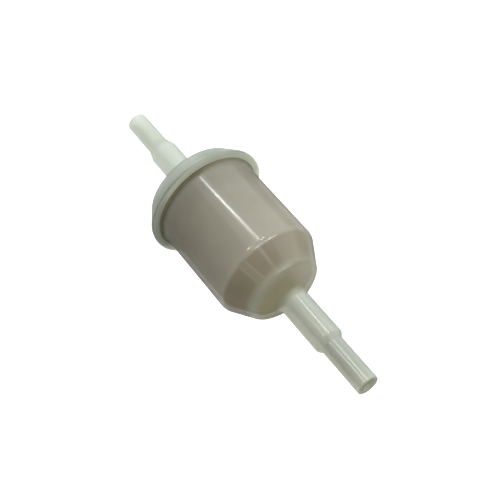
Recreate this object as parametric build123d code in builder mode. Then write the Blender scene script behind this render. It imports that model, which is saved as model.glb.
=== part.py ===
from build123d import *
import os

# Inline fuel filter: a moulded nylon bowl and cap, each with a stepped hose spigot,
# welded together around a pleated paper element. Millimetres, +Z up, flow axis along X.
# A station is a distance along the flow axis, counted from the tip of the cap's spigot.
# The origin is on the flow axis, halfway between the two spigot tips.

# Overall
overall_length = 108.7
bore_radius = 2.0
tip_round = 0.5

# Hose spigots at both ends, each a little over its hose's bore of 6 or 8 mm
small_spigot_radius = 3.05
large_spigot_radius = 4.05

# Cap, from its spigot's tip to the face that is welded to the bowl
cap_step_start = 12.5
cap_step_end = 15.6
cap_step_round = 3.0
cap_back = 32.5
cap_back_radius = 14.5
cap_root_round = 0.9
cap_rim_radius = 17.7
cap_rim_start = 37.6
cap_face = 37.85
cap_rim_round = 0.1
cap_floor = 34.05
cap_cavity_radius = 14.6
collar_radius = 6.6
collar_end = 40.4
socket_radius = 5.2
socket_floor = 35.0

# Bowl, from its mouth to its spigot's tip
lip_start = 36.8
lip_radius = 14.5
flange_start = 38.0
flange_end = 38.95
flange_radius = 17.85
flange_round = 0.25
mouth_inner_radius = 14.0
body_radius_at_flange = 15.27
body_radius_at_shoulder = 15.08
flange_root_round = 0.4
shoulder = 67.3
shoulder_round = 2.5
cone_end = 74.9
cone_end_radius = 10.6
cone_end_round = 2.0
dome_end = 78.05
dome_rise = 0.3
bowl_root_round = 2.0
bowl_step_start = 93.3
bowl_step_end = 94.7
bowl_step_round = 0.7
inner_shoulder = 66.95
inner_shoulder_radius = 13.78
inner_cone_end = 73.9
inner_cone_end_radius = 9.7
inner_dome_end = 77.45

# Weld between the cap's face and the bowl's flange, set back a little from their edges
weld_inner_radius = 15.4
weld_outer_radius = 17.5

# Ribs inside the bowl's cone, which hold the element off the wall
rib_count = 4
rib_width = 2.1
rib_first_angle = 38.2
rib_seat = 67.2
rib_inner_radius = 8.0
rib_lug_start = 65.2
rib_lug_radius = 13.0
rib_root_depth = 0.6

# Filter element
disc_radius = 12.9
disc_thickness = 1.2
disc_lip_width = 0.6
disc_lip_height = 2.0
potting_height = 1.6
neck_radius = 4.4
neck_bore_radius = 3.0
neck_start = 35.4
seal_start = 36.2
seal_width = 1.6
seal_groove_radius = 4.1
core_radius = 6.0
core_wall = 0.8
core_hole_radius = 1.1
core_hole_rows = 6
core_hole_directions = 3
pleat_count = 36
pleat_tip_radius = 12.1
pleat_root_radius = 6.6
paper_thickness = 0.4
seam_width = 1.6
seam_thickness = 0.3
edge_round = 0.2

# Values worked out from the ones above
open_disc_face = collar_end + disc_thickness
closed_disc_face = rib_seat - disc_thickness
pleat_start = open_disc_face + potting_height
pleat_end = closed_disc_face - potting_height
pleat_length = pleat_end - pleat_start
seam_start = open_disc_face + disc_lip_height
seam_end = closed_disc_face - disc_lip_height

# Half sections are drawn in this plane: x is the station and y is the radius
half_section = Plane(origin=(-overall_length / 2, 0, 0), x_dir=(1, 0, 0), z_dir=(0, -1, 0))


def cross_section(station):
    """The plane across the flow axis at a station, facing the bowl's spigot."""
    return Plane.YZ.offset(station - overall_length / 2)


def corner(sketch, station, radius):
    """The corner of a half section at that station and radius."""
    return sketch.vertices().sort_by_distance((station, radius))[0]


os.makedirs("parts", exist_ok=True)

# Cap: spigot, shallow cup that spreads to the weld face, and a collar for the element's neck
with BuildPart() as cap:
    with BuildSketch(half_section) as cap_section:
        with BuildLine():
            Polyline(
                (0, bore_radius),
                (0, small_spigot_radius),
                (cap_step_start, small_spigot_radius),
                (cap_step_end, large_spigot_radius),
                (cap_back, large_spigot_radius),
                (cap_back, cap_back_radius),
                (cap_rim_start, cap_rim_radius),
                (cap_face, cap_rim_radius),
                (cap_face, cap_cavity_radius),
                (cap_floor, cap_cavity_radius),
                (cap_floor, collar_radius),
                (collar_end, collar_radius),
                (collar_end, socket_radius),
                (socket_floor, socket_radius),
                (socket_floor, bore_radius),
                close=True,
            )
        make_face()
        fillet(corner(cap_section, 0, small_spigot_radius), tip_round)
        fillet(corner(cap_section, cap_step_start, small_spigot_radius), cap_step_round)
        fillet(corner(cap_section, cap_step_end, large_spigot_radius), cap_step_round)
        fillet(corner(cap_section, cap_back, large_spigot_radius), cap_root_round)
        fillet(corner(cap_section, cap_back, cap_back_radius), cap_root_round)
        fillet(corner(cap_section, cap_rim_start, cap_rim_radius), cap_rim_round)
        fillet(corner(cap_section, cap_face, cap_rim_radius), cap_rim_round)
    revolve(axis=Axis.X)
cap.part.label = "cap"
export_step(cap.part, "parts/cap.step")

# Bowl: mouth flange with a locating lip, drafted body, cone, shallow dome and spigot
with BuildPart() as bowl:
    with BuildSketch(half_section) as bowl_section:
        with BuildLine():
            Polyline(
                (dome_end, large_spigot_radius),
                (bowl_step_start, large_spigot_radius),
                (bowl_step_end, small_spigot_radius),
                (overall_length, small_spigot_radius),
                (overall_length, bore_radius),
                (inner_dome_end, bore_radius),
                (inner_cone_end, inner_cone_end_radius),
                (inner_shoulder, inner_shoulder_radius),
                (flange_start, mouth_inner_radius),
                (lip_start, mouth_inner_radius),
                (lip_start, lip_radius),
                (flange_start, lip_radius),
                (flange_start, flange_radius),
                (flange_end, flange_radius),
                (flange_end, body_radius_at_flange),
                (shoulder, body_radius_at_shoulder),
                (cone_end, cone_end_radius),
            )
            SagittaArc((cone_end, cone_end_radius), (dome_end, large_spigot_radius), dome_rise)
        make_face()
        fillet(corner(bowl_section, flange_start, flange_radius), flange_round)
        fillet(corner(bowl_section, flange_end, flange_radius), flange_round)
        fillet(corner(bowl_section, flange_end, body_radius_at_flange), flange_root_round)
        fillet(corner(bowl_section, shoulder, body_radius_at_shoulder), shoulder_round)
        fillet(corner(bowl_section, cone_end, cone_end_radius), cone_end_round)
        fillet(corner(bowl_section, dome_end, large_spigot_radius), bowl_root_round)
        fillet(corner(bowl_section, bowl_step_start, large_spigot_radius), bowl_step_round)
        fillet(corner(bowl_section, overall_length, small_spigot_radius), tip_round)
    revolve(axis=Axis.X)
    for index in range(rib_count):
        rib_plane = half_section.rotated((rib_first_angle + index * 360 / rib_count, 0, 0))
        with BuildSketch(rib_plane):
            with BuildLine():
                Polyline(
                    (rib_lug_start, rib_lug_radius),
                    (rib_seat, rib_lug_radius),
                    (rib_seat, rib_inner_radius),
                    (inner_cone_end, rib_inner_radius),
                    (inner_cone_end + rib_root_depth, inner_cone_end_radius),
                    (inner_shoulder, inner_shoulder_radius + rib_root_depth),
                    (rib_lug_start, inner_shoulder_radius + rib_root_depth),
                    close=True,
                )
            make_face()
        extrude(amount=rib_width / 2, both=True)
bowl.part.label = "bowl"
export_step(bowl.part, "parts/bowl.step")

# Weld bead: the melted ring that joins the cap's face to the bowl's flange
with BuildPart() as weld_bead:
    with BuildSketch(cross_section(cap_face)):
        Circle(weld_outer_radius)
        Circle(weld_inner_radius, mode=Mode.SUBTRACT)
    extrude(amount=flange_start - cap_face)
weld_bead.part.label = "weld_bead"
export_step(weld_bead.part, "parts/weld_bead.step")

# End disc on the cap's side, with the neck that carries clean fuel into the cap
with BuildPart() as open_end_disc:
    with BuildSketch(half_section):
        with BuildLine():
            Polyline(
                (neck_start, neck_bore_radius),
                (neck_start, neck_radius),
                (seal_start, neck_radius),
                (seal_start, seal_groove_radius),
                (seal_start + seal_width, seal_groove_radius),
                (seal_start + seal_width, neck_radius),
                (collar_end, neck_radius),
                (collar_end, disc_radius),
                (open_disc_face + disc_lip_height, disc_radius),
                (open_disc_face + disc_lip_height, disc_radius - disc_lip_width),
                (open_disc_face, disc_radius - disc_lip_width),
                (open_disc_face, neck_bore_radius),
                close=True,
            )
        make_face()
    revolve(axis=Axis.X)
open_end_disc.part.label = "open_end_disc"
export_step(open_end_disc.part, "parts/open_end_disc.step")

# End disc on the bowl's side, closed, which rests on the bowl's ribs
with BuildPart() as closed_end_disc:
    with BuildSketch(half_section):
        with BuildLine():
            Polyline(
                (rib_seat, 0),
                (rib_seat, disc_radius),
                (closed_disc_face - disc_lip_height, disc_radius),
                (closed_disc_face - disc_lip_height, disc_radius - disc_lip_width),
                (closed_disc_face, disc_radius - disc_lip_width),
                (closed_disc_face, 0),
                close=True,
            )
        make_face()
    revolve(axis=Axis.X)
closed_end_disc.part.label = "closed_end_disc"
export_step(closed_end_disc.part, "parts/closed_end_disc.step")

# Square seal ring in the groove of the neck
with BuildPart() as neck_seal:
    with BuildSketch(half_section) as seal_section:
        with Locations((seal_start + seal_width / 2, (seal_groove_radius + socket_radius) / 2)):
            Rectangle(seal_width, socket_radius - seal_groove_radius)
        fillet(seal_section.vertices(), edge_round)
    revolve(axis=Axis.X)
neck_seal.part.label = "neck_seal"
export_step(neck_seal.part, "parts/neck_seal.step")

# Perforated core that keeps the pleats from collapsing inwards
with BuildPart() as core_tube:
    with BuildSketch(cross_section(open_disc_face)):
        Circle(core_radius)
        Circle(core_radius - core_wall, mode=Mode.SUBTRACT)
    extrude(amount=closed_disc_face - open_disc_face)
    row_pitch = pleat_length / core_hole_rows
    for row in range(core_hole_rows):
        hole_station = pleat_start + row_pitch * (row + 0.5)
        for direction in range(core_hole_directions):
            hole_angle = (direction + row / 2) * 180 / core_hole_directions
            with BuildSketch(half_section.rotated((hole_angle, 0, 0))):
                with Locations((hole_station, 0)):
                    Circle(core_hole_radius)
            extrude(amount=core_radius * 1.1, both=True, mode=Mode.SUBTRACT)
core_tube.part.label = "core_tube"
export_step(core_tube.part, "parts/core_tube.step")

# Filter paper: one sheet folded into a closed star of pleats
with BuildPart() as pleated_paper:
    fold_points = []
    for fold in range(2 * pleat_count):
        fold_radius = pleat_root_radius if fold % 2 else pleat_tip_radius
        fold_vector = Vector(fold_radius, 0).rotate(Axis.Z, fold * 180 / pleat_count)
        fold_points.append(fold_vector)
    with BuildSketch(cross_section(pleat_start)):
        with BuildLine() as outer_folds:
            Polyline(*fold_points, close=True)
            offset(amount=paper_thickness / 2, kind=Kind.ARC, mode=Mode.REPLACE)
        make_face()
        with BuildLine() as inner_folds:
            Polyline(*fold_points, close=True)
            offset(amount=-paper_thickness / 2, kind=Kind.ARC, mode=Mode.REPLACE)
        make_face(mode=Mode.SUBTRACT)
    extrude(amount=pleat_length)
pleated_paper.part.label = "pleated_paper"
export_step(pleated_paper.part, "parts/pleated_paper.step")

# Strip that joins the two ends of the folded sheet, along the tip of its first pleat
with BuildPart() as seam_strip:
    with BuildSketch(cross_section(seam_start)):
        with Locations((pleat_tip_radius + (paper_thickness + seam_thickness) / 2, 0)):
            Rectangle(seam_thickness, seam_width)
    extrude(amount=seam_end - seam_start)
seam_strip.part.label = "seam_strip"
export_step(seam_strip.part, "parts/seam_strip.step")

# Potting that glues the pleats' ends into each end disc
with BuildPart() as open_end_potting:
    with BuildSketch(cross_section(open_disc_face)):
        Circle(disc_radius - disc_lip_width)
        Circle(core_radius, mode=Mode.SUBTRACT)
    extrude(amount=potting_height)
open_end_potting.part.label = "open_end_potting"
export_step(open_end_potting.part, "parts/open_end_potting.step")

with BuildPart() as closed_end_potting:
    with BuildSketch(cross_section(pleat_end)):
        Circle(disc_radius - disc_lip_width)
        Circle(core_radius, mode=Mode.SUBTRACT)
    extrude(amount=potting_height)
closed_end_potting.part.label = "closed_end_potting"
export_step(closed_end_potting.part, "parts/closed_end_potting.step")
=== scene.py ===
import math

import bpy
from mathutils import Matrix, Vector


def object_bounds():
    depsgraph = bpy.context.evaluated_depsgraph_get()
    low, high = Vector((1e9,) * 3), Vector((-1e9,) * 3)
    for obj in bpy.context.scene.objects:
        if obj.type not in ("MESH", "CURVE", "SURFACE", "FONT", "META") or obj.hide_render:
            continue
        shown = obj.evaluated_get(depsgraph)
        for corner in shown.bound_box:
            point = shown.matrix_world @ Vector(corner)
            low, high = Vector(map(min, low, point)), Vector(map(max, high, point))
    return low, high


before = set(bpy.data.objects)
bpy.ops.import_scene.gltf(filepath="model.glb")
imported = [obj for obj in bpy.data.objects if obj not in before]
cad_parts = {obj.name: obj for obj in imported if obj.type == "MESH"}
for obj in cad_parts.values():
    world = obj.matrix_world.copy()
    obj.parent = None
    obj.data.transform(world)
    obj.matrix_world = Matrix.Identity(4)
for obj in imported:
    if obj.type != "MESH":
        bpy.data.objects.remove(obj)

MM = 0.001

cad_low, cad_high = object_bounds()
middle = (cad_low + cad_high) / 2
half_length = (cad_high.x - cad_low.x) / 2 / MM

# ---------------------------------------------------------------- node helpers

# Nearly all values of a noise texture lie between these two.
NOISE_LOW = 0.25
NOISE_HIGH = 0.75


class Graph:
    """The nodes of a material or of the world. Lengths in a material are in millimetres."""

    def __init__(self, owner):
        owner.use_nodes = True
        self.owner = owner
        self.nodes = owner.node_tree.nodes
        self.links = owner.node_tree.links

    @property
    def shader(self):
        return self.nodes["Principled BSDF"]

    def feed(self, socket, value):
        """Links an output to the socket, or sets the socket to a plain number or colour."""
        if isinstance(value, bpy.types.NodeSocket):
            self.links.new(value, socket)
        elif isinstance(value, tuple) and socket.type == "RGBA":
            socket.default_value = (*value, 1)
        else:
            socket.default_value = value

    def add(self, kind, inputs=(), **settings):
        """A new node with these settings, its first inputs fed in order."""
        node = self.nodes.new(kind)
        for name, value in settings.items():
            setattr(node, name, value)
        for socket, value in zip(node.inputs, inputs):
            self.feed(socket, value)
        return node

    def maths(self, operation, *inputs):
        return self.add("ShaderNodeMath", inputs, operation=operation).outputs[0]

    def all_of(self, *masks):
        """The product of the masks: 1 only where each of them is 1."""
        whole = masks[0]
        for mask in masks[1:]:
            whole = self.maths("MULTIPLY", whole, mask)
        return whole

    def position(self):
        """The object coordinates in millimetres, as a vector and as x, y and z."""
        metres = self.add("ShaderNodeTexCoord").outputs["Object"]
        place = self.add("ShaderNodeVectorMath", (metres,), operation="SCALE")
        place.inputs["Scale"].default_value = 1 / MM
        x, y, z = self.add("ShaderNodeSeparateXYZ", place.outputs[:1]).outputs
        return place.outputs[0], x, y, z

    def stretched(self, place, factors):
        return self.add("ShaderNodeVectorMath", (place, factors), operation="MULTIPLY").outputs[0]

    def step(self, value, start, end):
        """0 at start and before it, 1 at end and past it, and a smooth step between them."""
        inputs = (value, start, end)
        return self.add("ShaderNodeMapRange", inputs, interpolation_type="SMOOTHSTEP").outputs[0]

    def band(self, value, start, end, blur):
        """1 between start and end, 0 outside, with edges that wide."""
        rise = self.step(value, start - blur / 2, start + blur / 2)
        fall = self.step(value, end + blur / 2, end - blur / 2)
        return self.all_of(rise, fall)

    def noise(self, place, scale, detail=2.0, roughness=0.5):
        node = self.add("ShaderNodeTexNoise")
        self.feed(node.inputs["Vector"], place)
        node.inputs["Scale"].default_value = scale
        node.inputs["Detail"].default_value = detail
        node.inputs["Roughness"].default_value = roughness
        return node.outputs["Fac"]

    def mix(self, share, first, second, blend="MIX"):
        node = self.add("ShaderNodeMix", data_type="RGBA", blend_type=blend)
        colours = [socket for socket in node.inputs if socket.type == "RGBA"]
        self.feed(node.inputs["Factor"], share)
        self.feed(colours[0], first)
        self.feed(colours[1], second)
        return next(socket for socket in node.outputs if socket.type == "RGBA")

    def ramp(self, value, stops):
        """A colour that runs through the stops, given as pairs of a value and a colour."""
        low, high = stops[0][0], stops[-1][0]
        share = self.add("ShaderNodeMapRange", (value, low, high)).outputs[0]
        node = self.add("ShaderNodeValToRGB", (share,))
        elements = node.color_ramp.elements
        while len(elements) < len(stops):
            elements.new(0.5)  # each element gets its real position below
        for element, (at, colour) in zip(elements, stops):
            element.position = (at - low) / (high - low)
            element.color = (*colour, 1)
        return node.outputs["Color"]

    def between(self, share, low, high):
        """The number that lies that share of the way from low to high."""
        return self.add("ShaderNodeMapRange", (share, 0, 1, low, high)).outputs[0]

    def vary(self, noise, spread):
        """A number around 1 that a noise moves up and down by about the spread."""
        inputs = (noise, NOISE_LOW, NOISE_HIGH, 1 - spread, 1 + spread)
        return self.add("ShaderNodeMapRange", inputs).outputs[0]

    def tint(self, colour, number):
        """The colour times a number."""
        factor = self.add("ShaderNodeCombineXYZ", (number,) * 3).outputs[0]
        return self.mix(1.0, colour, factor, "MULTIPLY")

    def bump(self, height, depth):
        """A normal from a height from 0 to 1 that stands for this many millimetres."""
        node = self.add("ShaderNodeBump")
        node.inputs["Distance"].default_value = depth * MM
        self.feed(node.inputs["Height"], height)
        return node.outputs["Normal"]

    def finish(self, colour, roughness, normal, ior):
        """Feeds the surface shader and returns the material."""
        self.feed(self.shader.inputs["Base Color"], colour)
        self.feed(self.shader.inputs["Roughness"], roughness)
        self.feed(self.shader.inputs["Normal"], normal)
        self.shader.inputs["IOR"].default_value = ior
        return self.owner


def material_graph(name):
    return Graph(bpy.data.materials.new(name))


# ---------------------------------------------------------------- camera

VIEW_AZIMUTH = math.radians(55.18)
VIEW_ELEVATION = math.radians(52.61)
VIEW_DISTANCE = 237.85 * MM
LENS = 66.0
AIM = middle + Vector((-0.13, -0.12, -0.05)) * MM
NEAREST_SEEN = 1 * MM


def direction(azimuth, elevation):
    """The unit vector from the object towards a viewer at that azimuth and elevation."""
    flat = math.cos(elevation)
    return Vector((math.sin(azimuth) * flat, -math.cos(azimuth) * flat, math.sin(elevation)))


def make_camera():
    towards_viewer = direction(VIEW_AZIMUTH, VIEW_ELEVATION)
    camera = bpy.data.objects.new("camera", bpy.data.cameras.new("camera"))
    camera.data.lens = LENS
    camera.data.clip_start = NEAREST_SEEN
    camera.location = AIM + towards_viewer * VIEW_DISTANCE
    camera.rotation_euler = (-towards_viewer).to_track_quat("-Z", "Y").to_euler()
    bpy.context.scene.collection.objects.link(camera)
    bpy.context.scene.camera = camera


make_camera()

# ---------------------------------------------------------------- stage and lights

# Lengths and lamp positions here are in metres, and lamp brightness is radiance.
FLOOR_DROP = 80 * MM
FLOOR_SIZE = 40.0
FLOOR_WHITE = 0.9
FLOOR_ROUGHNESS = 0.9
FLOOR_GLOW = 0.5
KEY_DIRECTION = Vector((0.20, 0.78, 0.60)).normalized()
KEY_SIDE = (0.085, 0.095, 0.105)
FAR_SIDE = (0.012, 0.010, 0.007)
LAMP_HEIGHT = 0.45
WHITE = (1, 1, 1)
WARM_WHITE = (1.0, 0.93, 0.80)
COOL_WHITE = (0.84, 0.93, 1.0)


def make_world():
    """A room that is light and cool towards the key side, and dim and warm on the far side."""
    world = bpy.data.worlds.new("studio")
    graph = Graph(world)
    looking = graph.add("ShaderNodeTexCoord").outputs["Generated"]
    inputs = (looking, KEY_DIRECTION)
    towards_key = graph.add("ShaderNodeVectorMath", inputs, operation="DOT_PRODUCT").outputs["Value"]
    share = graph.add("ShaderNodeMapRange", (towards_key, -1, 1)).outputs[0]
    graph.feed(graph.nodes["Background"].inputs["Color"], graph.mix(share, FAR_SIDE, KEY_SIDE))
    bpy.context.scene.world = world


def floor_material():
    graph = material_graph("floor")
    graph.feed(graph.shader.inputs["Base Color"], (FLOOR_WHITE,) * 3)
    graph.feed(graph.shader.inputs["Roughness"], FLOOR_ROUGHNESS)
    graph.feed(graph.shader.inputs["Specular IOR Level"], 0.0)
    graph.feed(graph.shader.inputs["Emission Color"], WHITE)
    graph.feed(graph.shader.inputs["Emission Strength"], FLOOR_GLOW)
    return graph.owner


def make_floor():
    """A pale floor below the object that doesn't show in its reflections."""
    half = FLOOR_SIZE / 2
    z = cad_low.z - FLOOR_DROP
    corners = [(-half, -half, z), (half, -half, z), (half, half, z), (-half, half, z)]
    mesh = bpy.data.meshes.new("floor")
    mesh.from_pydata(corners, [], [(0, 1, 2, 3)])
    mesh.materials.append(floor_material())
    floor = bpy.data.objects.new("floor", mesh)
    floor.visible_glossy = False
    bpy.context.scene.collection.objects.link(floor)


def make_lamp(name, start, end, width, radiance, colour=WHITE):
    """A rectangular lamp at lamp height whose middle line runs from start to end, facing the object."""
    start = Vector((*start, LAMP_HEIGHT))
    end = Vector((*end, LAMP_HEIGHT))
    centre = (start + end) / 2
    along = (end - start).normalized()
    side = (centre - middle).cross(along).normalized()
    data = bpy.data.lights.new(name, "AREA")
    data.shape = "RECTANGLE"
    data.color = colour
    data.size = (end - start).length
    data.size_y = width
    data.energy = radiance * math.pi * data.size * data.size_y
    lamp = bpy.data.objects.new(name, data)
    turn = Matrix((along, side, along.cross(side))).transposed().to_4x4()
    lamp.matrix_world = Matrix.Translation(centre) @ turn
    bpy.context.scene.collection.objects.link(lamp)


def make_tubes():
    """Narrow lamps, each for one of the thin highlights on the glossy nylon."""
    make_lamp("body_tube", (-0.302, -0.016), (-0.240, 0.025), width=0.010, radiance=74)
    make_lamp("body_tube_end", (-0.240, 0.025), (-0.215, 0.047), width=0.010, radiance=40)
    make_lamp("spigot_tube", (-0.200, 0.120), (-0.135, 0.087), width=0.020, radiance=42)
    make_lamp("tip_tube", (-0.135, 0.070), (-0.075, 0.057), width=0.020, radiance=46)
    make_lamp("side_tube", (-0.150, -0.194), (-0.100, -0.195), width=0.024, radiance=80)
    make_lamp("cone_tube", (0.278, -0.058), (0.307, -0.017), width=0.034, radiance=4.5, colour=WARM_WHITE)
    make_lamp("shoulder_tube", (0.200, -0.12), (0.181, 0.15), width=0.032, radiance=13)
    make_lamp("shoulder_tube_end", (0.181, 0.15), (0.179, 0.36), width=0.032, radiance=24)


def make_boxes():
    """Two wide soft lamps: a cool one above and towards +Y, and a bright one beyond the bowl's end."""
    make_lamp("softbox", (-0.70, 0.24), (0.30, 0.24), width=1.16, radiance=1.26, colour=COOL_WHITE)
    make_lamp("front_box", (0.62, 0.00), (0.82, 0.60), width=0.35, radiance=4.5)


make_world()
make_floor()
make_tubes()
make_boxes()
bpy.context.scene.view_settings.view_transform = "Standard"

# ---------------------------------------------------------------- natural nylon

# Stations are places along X in millimetres, counted from the middle of the length.
CAP_SPIGOT_END = -21.9
CAP_ROOT_START = CAP_SPIGOT_END - 1.4
CAP_ROOT_END = CAP_SPIGOT_END + 0.5
CAP_SLOPE_START = CAP_SPIGOT_END + 1.2
CAP_RIM_START = -16.75
CAP_SLOPE_END = CAP_RIM_START - 0.6
FLANGE_BACK = -18.0
FLANGE_FRONT = -15.4
BODY_START = FLANGE_FRONT + 0.4
BODY_CENTRE = -4.0
BODY_FRONT = 8.0
SHOULDER = 13.0
BODY_END = SHOULDER + 0.3
WINDOW_START = SHOULDER + 1.1
WINDOW_END = 19.3
WINDOW_STOP = WINDOW_END - 0.5
BAND_START = WINDOW_END + 0.7
BAND_END = WINDOW_END + 1.7
ROOT_START = WINDOW_END + 2.6
BOWL_SPIGOT_START = 23.7
ROOT_END = BOWL_SPIGOT_START - 0.2
SPIGOT_CLEAR = BOWL_SPIGOT_START + 2.0
TIP_START = half_length - 0.5
TIP_END = half_length - 0.1

# Spans of X, in millimetres. A step rises from the first number to the second.
CAP_SPIGOT_STEP = (CAP_SPIGOT_END + 1, CAP_SPIGOT_END - 1)
CAP_SHADE_SPAN = (CAP_SPIGOT_END - 4, CAP_SPIGOT_END)
CAP_SHADE_BLUR = 2.0
FLANGE_FACE_SPAN = (FLANGE_FRONT - 0.04, FLANGE_FRONT + 0.3)
FLANGE_FACE_BLUR = 0.04
CREASE_RISE = (FLANGE_FRONT - 0.15, FLANGE_FRONT)
CREASE_FADE = (-13.4, -14.8)
WORN_STEP = (-14.4, -15.0)
CONE_SPAN = (SHOULDER + 0.6, WINDOW_END + 0.4)
CONE_BLUR = 1.8
DOME_STEP = (WINDOW_END - 0.5, WINDOW_END + 1)
PALE_ROOT_SPAN = (BAND_END, BOWL_SPIGOT_START + 0.3)
PALE_ROOT_BLUR = 1.0
BOWL_SPIGOT_STEP = (BOWL_SPIGOT_START - 1, BOWL_SPIGOT_START + 1)

# Spans of Y, in millimetres, over which the look of the -Y side turns into that of the +Y side. These blend
# painted light and shade, lighter or darker on one side because of how light falls.
CAP_SPIGOT_SIDES = (-3, 2)
CAP_ROOT_SIDES = (-1.5, 2.5)
FLANGE_FACE_SIDES = (-15.5, -10.5)
CREASE_SHADE_SIDES = (-4, 4)
WINDOW_SIDES = (-4, 8)
BOWL_ROOT_SIDES = (-3, 6)

# Radii from the X axis, in millimetres.
CREASE_RADIUS = 15.9
CREASE_BLUR = 0.25
BORE_STEP = (2.25, 2.05)

RIB_ANGLE = math.radians(38.2)
RIB_HALF_WIDTH = 1.05
RIB_BLUR = 0.2
RIB_LINE = 0.55
RIB_LINE_BLUR = 0.5

NYLON = (0.453, 0.489, 0.469)
# Painted shade on the end face of the spigot's tip.
NYLON_TIP_SHADE = (0.15, 0.16, 0.135)
# Painted shade inside the spigot's bore.
NYLON_BORE_SHADE = (0.23, 0.225, 0.17)
NYLON_THROUGH = (0.535, 0.514, 0.318)
FLANGE_RIM = (0.408, 0.424, 0.333)
# Painted light on the flange's front face, which keeps the rim's colour at its -Y edge.
FLANGE_FACE_LIT = (0.66, 0.67, 0.52)
# Painted shade in the crease where the body meets the flange; the second colour is that shade lighter for
# the +Y side, where light falls.
CREASE_SHADE = (0.219, 0.19, 0.112)
CREASE_SHADE_LIT = (0.315, 0.29, 0.2)
BODY_NEAR_FLANGE = (0.307, 0.289, 0.225)
BODY_MIDDLE = (0.393, 0.362, 0.28)
BODY_NEAR_SHOULDER = (0.441, 0.404, 0.313)
WINDOW = (0.311, 0.269, 0.187)
# Painted light: the cone's colour on the +Y side, where light falls, and the most of it that shows.
WINDOW_LIT = (0.382, 0.349, 0.262)
WINDOW_LIT_SHARE = 0.7
RIB_FILL = (0.34, 0.305, 0.207)
# A painted reflection along each edge of the ribs.
RIB_EDGE_REFLECTION = (0.369, 0.336, 0.242)
PALE_BAND = (0.383, 0.361, 0.266)
SPIGOT_ROOT = (0.328, 0.302, 0.182)
# Painted light: the colour of the spigot's root on the +Y side, where light falls.
SPIGOT_ROOT_LIT = (0.41, 0.38, 0.285)
CAP_SPIGOT = (0.645, 0.665, 0.57)
CAP_ROOT = (0.42, 0.46, 0.38)
# Painted shade at the spigot's root, on the +Y side.
CAP_ROOT_SHADE = (0.30, 0.34, 0.28)
CAP_SLOPE = (0.575, 0.60, 0.495)
CAP_RIM = (0.499, 0.53, 0.437)
# What the cap's colours are multiplied by, on the -Y side and on the +Y side: painted light on the one and
# painted shade on the other.
CAP_SIDE_LIGHT_AND_SHADE = (1.08, 0.92)

# Roughness, before the uneven skin varies it.
GLOSSY = 0.135
SATIN = 0.22
SPIGOT_GLOSS = 0.19
CAP_GLOSS = 0.38
WORN = 0.40
DULL = 0.55

NYLON_IOR = 1.53
SKIN_DEPTH = 0.0015
SKIN_SPREAD = 0.25
GRAIN_SHARE = 0.25
CLOUD_SCALE = 0.12
BOWL_CLOUDS = 0.06
CAP_CLOUDS = 0.05

# The shares of the light that pass a wall blurred, in the shell and in its spigot, and straight.
BOWL_BLURRED = (0.35, 0.55)
BOWL_CLEAR = 0.06
CAP_BLURRED = (0.25, 0.5)
CAP_CLEAR = 0.05


def nylon_skin(graph, place, gloss):
    """The fine uneven skin that both moulded shells share: roughness around the gloss, and normal."""
    flow = graph.noise(graph.stretched(place, (0.15, 1.0, 1.0)), scale=0.35, detail=3.0)
    grain = graph.noise(place, scale=4.0, detail=3.0)
    roughness = graph.maths("MULTIPLY", graph.vary(flow, SKIN_SPREAD), gloss)
    height = graph.maths("ADD", graph.maths("MULTIPLY", grain, GRAIN_SHARE), flow)
    return roughness, graph.bump(height, SKIN_DEPTH)


def clouded(graph, place, colour, spread):
    """The colour with wide faint clouds in it."""
    return graph.tint(colour, graph.vary(graph.noise(place, CLOUD_SCALE), spread))


def milky(graph, through, blurred, clear):
    """Lets part of the light through blurred and a little of it straight, once for each wall."""
    translucent = graph.add("ShaderNodeBsdfTranslucent", (through,)).outputs[0]
    inputs = (blurred, graph.shader.outputs[0], translucent)
    body = graph.add("ShaderNodeMixShader", inputs).outputs[0]
    straight = graph.add("ShaderNodeBsdfTransparent").outputs[0]
    leaving = graph.add("ShaderNodeNewGeometry").outputs["Backfacing"]
    share = graph.maths("MAXIMUM", leaving, clear)
    whole = graph.add("ShaderNodeMixShader", (share, body, straight)).outputs[0]
    graph.feed(graph.nodes["Material Output"].inputs["Surface"], whole)


def plane_distance(graph, y, z, angle):
    """The distance from the plane through the X axis that lies at that angle from +Y."""
    from_y = graph.maths("MULTIPLY", y, math.sin(angle))
    from_z = graph.maths("MULTIPLY", z, -math.cos(angle))
    return graph.maths("ABSOLUTE", graph.maths("ADD", from_y, from_z))


def rib_distance(graph, y, z):
    """The distance from the nearest of the two planes that the four ribs lie in."""
    first = plane_distance(graph, y, z, RIB_ANGLE)
    second = plane_distance(graph, y, z, RIB_ANGLE + math.pi / 2)
    return graph.maths("MINIMUM", first, second)


def radius_of(graph, y, z):
    squares = graph.maths("ADD", graph.maths("MULTIPLY", y, y), graph.maths("MULTIPLY", z, z))
    return graph.maths("SQRT", squares)


def bowl_colours(graph, x):
    """The bowl's colours along X, from the flange's rim to the spigot's tip, whose end face gets painted
    shade.
    """
    return graph.ramp(x, [
        (FLANGE_BACK, FLANGE_RIM),
        (FLANGE_FRONT, FLANGE_RIM),
        (BODY_START, BODY_NEAR_FLANGE),
        (BODY_CENTRE, BODY_MIDDLE),
        (BODY_FRONT, BODY_NEAR_SHOULDER),
        (BODY_END, BODY_NEAR_SHOULDER),
        (WINDOW_START, WINDOW),
        (WINDOW_STOP, WINDOW),
        (BAND_START, PALE_BAND),
        (BAND_END, PALE_BAND),
        (ROOT_START, SPIGOT_ROOT),
        (ROOT_END, SPIGOT_ROOT),
        (SPIGOT_CLEAR, NYLON),
        (TIP_START, NYLON),
        (TIP_END, NYLON_TIP_SHADE),
    ])


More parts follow.
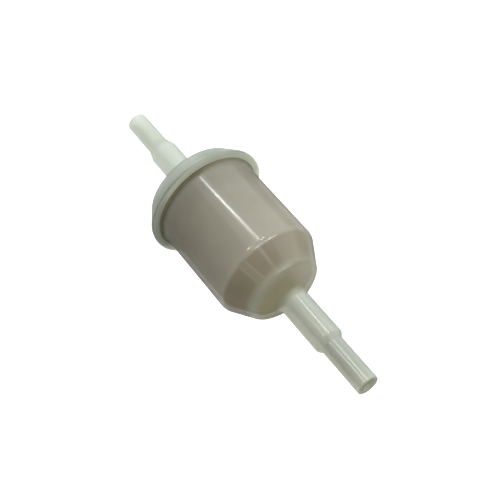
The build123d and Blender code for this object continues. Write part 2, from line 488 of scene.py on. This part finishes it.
def paint_bowl_root_light(graph, colour, x, y):
    """Painted light: the root of the bowl's spigot, paler on the +Y side, where light falls."""
    root = graph.band(x, *PALE_ROOT_SPAN, PALE_ROOT_BLUR)
    pale = graph.all_of(root, graph.step(y, *BOWL_ROOT_SIDES))
    return graph.mix(pale, colour, SPIGOT_ROOT_LIT)


def paint_flange_face_light(graph, colour, x, y, radius):
    """Painted light: the flange's front face, pale where light falls but for its -Y edge. It is too thin
    for the colours along X.
    """
    outside = graph.step(radius, CREASE_RADIUS - CREASE_BLUR, CREASE_RADIUS + CREASE_BLUR)
    face = graph.band(x, *FLANGE_FACE_SPAN, FLANGE_FACE_BLUR)
    face_colour = graph.mix(graph.step(y, *FLANGE_FACE_SIDES), FLANGE_RIM, FLANGE_FACE_LIT)
    return graph.mix(graph.all_of(outside, face), colour, face_colour)


def crease_mask(graph, x, radius):
    """The band where the body meets the flange, which gets painted shade and a duller finish."""
    inside = graph.step(radius, CREASE_RADIUS + CREASE_BLUR, CREASE_RADIUS - CREASE_BLUR)
    return graph.all_of(inside, graph.step(x, *CREASE_RISE), graph.step(x, *CREASE_FADE))


def paint_crease_shade(graph, colour, crease, y):
    """Painted shade: the dark band where the body meets the flange, painted lighter on the +Y side, where
    light falls.
    """
    return graph.mix(crease, colour, graph.mix(graph.step(y, *CREASE_SHADE_SIDES), CREASE_SHADE, CREASE_SHADE_LIT))


def paint_ribs_and_cone_light(graph, colour, x, y, z):
    """The ribs behind the cone, with a painted reflection as a line along each edge, and all of it painted
    lighter on the +Y side, where light falls.
    """
    ribs = rib_distance(graph, y, z)
    strip = graph.step(ribs, RIB_HALF_WIDTH + RIB_BLUR, RIB_HALF_WIDTH - RIB_BLUR)
    line_span = (RIB_HALF_WIDTH - RIB_LINE / 2, RIB_HALF_WIDTH + RIB_LINE / 2)
    line = graph.band(ribs, *line_span, RIB_LINE_BLUR)
    cone = graph.band(x, *CONE_SPAN, CONE_BLUR)
    colour = graph.mix(graph.all_of(strip, cone), colour, RIB_FILL)
    # Painted reflection along the ribs' edges.
    colour = graph.mix(graph.all_of(line, cone), colour, RIB_EDGE_REFLECTION)
    # Painted light on the +Y side of the cone.
    fading = graph.between(graph.step(y, *WINDOW_SIDES), 0, WINDOW_LIT_SHARE)
    return graph.mix(graph.all_of(cone, fading), colour, WINDOW_LIT)


def bowl_gloss(graph, x, spigot, crease):
    """Roughness by zone. In the crease, what the worn zone and the crease add comes together."""
    gloss = graph.between(graph.step(x, *DOME_STEP), GLOSSY, SATIN)
    gloss = graph.maths("ADD", gloss, graph.between(spigot, 0, SPIGOT_GLOSS - SATIN))
    gloss = graph.maths("ADD", gloss, graph.between(graph.step(x, *WORN_STEP), 0, WORN - GLOSSY))
    return graph.maths("ADD", gloss, graph.between(crease, 0, DULL - GLOSSY))


def bowl_nylon():
    """Milky nylon with the brown of the element behind it painted in, and with painted light and shade: a
    shaded crease at the flange, a shaded bore and tip face, a reflection along the ribs, and lighter +Y
    sides.
    """
    graph = material_graph("bowl_nylon")
    place, x, y, z = graph.position()
    radius = radius_of(graph, y, z)
    spigot = graph.step(x, *BOWL_SPIGOT_STEP)
    bore = graph.all_of(spigot, graph.step(radius, *BORE_STEP))
    crease = crease_mask(graph, x, radius)
    colour = bowl_colours(graph, x)
    colour = paint_bowl_root_light(graph, colour, x, y)
    colour = paint_flange_face_light(graph, colour, x, y, radius)
    colour = paint_crease_shade(graph, colour, crease, y)
    colour = paint_ribs_and_cone_light(graph, colour, x, y, z)
    # Painted shade inside the bore.
    colour = graph.mix(bore, colour, NYLON_BORE_SHADE)
    colour = clouded(graph, place, colour, BOWL_CLOUDS)
    roughness, normal = nylon_skin(graph, place, bowl_gloss(graph, x, spigot, crease))
    through = graph.mix(bore, graph.mix(spigot, colour, NYLON_THROUGH), NYLON_BORE_SHADE)
    material = graph.finish(colour, roughness, normal, NYLON_IOR)
    milky(graph, through, graph.between(spigot, *BOWL_BLURRED), BOWL_CLEAR)
    return material


def cap_colours(graph, x):
    """The cap's colours along X, from the spigot's tip to the rim."""
    return graph.ramp(x, [
        (-half_length, CAP_SPIGOT),
        (CAP_ROOT_START, CAP_SPIGOT),
        (CAP_SPIGOT_END, CAP_ROOT),
        (CAP_ROOT_END, CAP_ROOT),
        (CAP_SLOPE_START, CAP_SLOPE),
        (CAP_SLOPE_END, CAP_SLOPE),
        (CAP_RIM_START, CAP_RIM),
    ])


def paint_cap_side_shading(graph, colour, x, y):
    """Painted shade and light: darkens the +Y side, most of all at the spigot's root, and lightens the -Y
    side.
    """
    root = graph.band(x, *CAP_SHADE_SPAN, CAP_SHADE_BLUR)
    shaded = graph.all_of(root, graph.step(y, *CAP_ROOT_SIDES))
    colour = graph.mix(shaded, colour, CAP_ROOT_SHADE)
    side = graph.step(y, *CAP_SPIGOT_SIDES)
    return graph.tint(colour, graph.between(side, *CAP_SIDE_LIGHT_AND_SHADE))


def cap_nylon():
    """Paler milky nylon, duller on the cup than on the spigot, painted lighter on its -Y side and with
    painted shade on its +Y side.
    """
    graph = material_graph("cap_nylon")
    place, x, y = graph.position()[:3]
    spigot = graph.step(x, *CAP_SPIGOT_STEP)
    colour = paint_cap_side_shading(graph, cap_colours(graph, x), x, y)
    colour = clouded(graph, place, colour, CAP_CLOUDS)
    gloss = graph.between(spigot, CAP_GLOSS, SPIGOT_GLOSS)
    roughness, normal = nylon_skin(graph, place, gloss)
    material = graph.finish(colour, roughness, normal, NYLON_IOR)
    milky(graph, colour, graph.between(spigot, *CAP_BLURRED), CAP_CLEAR)
    return material


# ---------------------------------------------------------------- weld and inner parts

WELD_DARK = (0.24, 0.245, 0.165)
WELD_LIGHT = (0.36, 0.37, 0.27)
PAPER = (0.50, 0.40, 0.25)
PAPER_FIBRE = (0.66, 0.56, 0.38)
GLUE = (0.42, 0.27, 0.09)
CORE_WHITE = (0.70, 0.69, 0.62)
DISC_BROWN = (0.28, 0.205, 0.12)
DISC_SPECK = (0.42, 0.34, 0.23)
POTTING_AMBER = (0.40, 0.24, 0.085)
POTTING_BUBBLE = (0.56, 0.40, 0.20)
RUBBER = (0.022, 0.022, 0.023)
RUBBER_BLOOM = (0.055, 0.055, 0.052)
PAPER_IOR = 1.45
RESIN_IOR = 1.5
RUBBER_IOR = 1.52


def weld_nylon():
    """Remelted nylon, with fine rings where the two shells were spun together."""
    graph = material_graph("weld_nylon")
    place = graph.position()[0]
    rings = graph.noise(graph.stretched(place, (6.0, 0.12, 0.12)), scale=1.5, detail=4.0)
    blotches = graph.noise(place, scale=0.5, detail=3.0)
    colour = graph.mix(rings, WELD_DARK, WELD_LIGHT)
    colour = graph.tint(colour, graph.vary(blotches, spread=0.12))
    roughness = graph.between(blotches, low=0.30, high=0.50)
    return graph.finish(colour, roughness, graph.bump(rings, depth=0.03), NYLON_IOR)


def filter_paper():
    """Resin-coated cellulose: fibres lying both ways in a paler and a darker tan."""
    graph = material_graph("filter_paper")
    place = graph.position()[0]
    lengthways = graph.noise(graph.stretched(place, (0.4, 3.0, 3.0)), scale=2.5, detail=5.0, roughness=0.65)
    crossways = graph.noise(graph.stretched(place, (3.0, 0.8, 0.8)), scale=2.0, detail=5.0, roughness=0.65)
    resin = graph.noise(place, scale=0.25, detail=3.0)
    fibres = graph.maths("MULTIPLY", graph.maths("ADD", lengthways, crossways), 0.5)
    colour = graph.mix(graph.step(fibres, start=0.38, end=0.64), PAPER, PAPER_FIBRE)
    colour = graph.tint(colour, graph.vary(resin, spread=0.12))
    roughness = graph.between(resin, low=0.80, high=0.95)
    return graph.finish(colour, roughness, graph.bump(fibres, depth=0.04), PAPER_IOR)


def seam_film():
    """A thin line of amber glue, uneven in thickness along its length."""
    graph = material_graph("seam_film")
    place = graph.position()[0]
    runs = graph.noise(graph.stretched(place, (0.3, 1.5, 1.5)), scale=1.2, detail=3.0)
    grain = graph.noise(place, scale=6.0)
    colour = graph.tint(GLUE, graph.vary(runs, spread=0.30))
    roughness = graph.between(grain, low=0.28, high=0.48)
    return graph.finish(colour, roughness, graph.bump(runs, depth=0.03), RESIN_IOR)


def core_plastic():
    """Off-white moulded plastic with faint flow lines along the tube."""
    graph = material_graph("core_plastic")
    place = graph.position()[0]
    flow = graph.noise(graph.stretched(place, (0.1, 1.2, 1.2)), scale=1.0, detail=4.0)
    grain = graph.noise(place, scale=5.0, detail=3.0)
    colour = graph.tint(CORE_WHITE, graph.vary(flow, spread=0.07))
    roughness = graph.between(grain, low=0.35, high=0.55)
    return graph.finish(colour, roughness, graph.bump(grain, depth=0.01), NYLON_IOR)


def disc_plastic():
    """Brown fibre-filled plastic with pale specks."""
    graph = material_graph("disc_plastic")
    place = graph.position()[0]
    specks = graph.noise(place, scale=4.5)
    cloud = graph.noise(place, scale=0.4, detail=3.0)
    colour = graph.mix(graph.step(specks, start=0.58, end=0.70), DISC_BROWN, DISC_SPECK)
    colour = graph.tint(colour, graph.vary(cloud, spread=0.10))
    roughness = graph.between(specks, low=0.40, high=0.65)
    return graph.finish(colour, roughness, graph.bump(specks, depth=0.02), RESIN_IOR)


def potting():
    """Amber cast resin with small trapped bubbles near its surface."""
    graph = material_graph("potting")
    place = graph.position()[0]
    cells = graph.add("ShaderNodeTexVoronoi")
    graph.feed(cells.inputs["Vector"], place)
    graph.feed(cells.inputs["Scale"], 1.1)
    bubbles = graph.step(cells.outputs["Distance"], start=0.22, end=0.08)
    cloud = graph.noise(place, scale=0.5, detail=3.0)
    colour = graph.mix(bubbles, POTTING_AMBER, POTTING_BUBBLE)
    colour = graph.tint(colour, graph.vary(cloud, spread=0.15))
    roughness = graph.between(cloud, low=0.20, high=0.42)
    return graph.finish(colour, roughness, graph.bump(bubbles, depth=0.03), RESIN_IOR)


def seal_rubber():
    """Matt black rubber with a grey bloom in patches and a fine grain."""
    graph = material_graph("seal_rubber")
    place = graph.position()[0]
    grain = graph.noise(place, scale=8.0, detail=3.0)
    bloom = graph.noise(place, scale=0.9, detail=3.0)
    colour = graph.mix(graph.step(bloom, start=0.45, end=0.75), RUBBER, RUBBER_BLOOM)
    roughness = graph.between(grain, low=0.50, high=0.75)
    return graph.finish(colour, roughness, graph.bump(grain, depth=0.015), RUBBER_IOR)


disc_material = disc_plastic()
potting_material = potting()
MATERIALS = {
    "bowl": bowl_nylon(),
    "cap": cap_nylon(),
    "weld_bead": weld_nylon(),
    "pleated_paper": filter_paper(),
    "seam_strip": seam_film(),
    "core_tube": core_plastic(),
    "open_end_disc": disc_material,
    "closed_end_disc": disc_material,
    "open_end_potting": potting_material,
    "closed_end_potting": potting_material,
    "neck_seal": seal_rubber(),
}
for node, material in MATERIALS.items():
    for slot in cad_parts[node].material_slots:
        slot.material = material
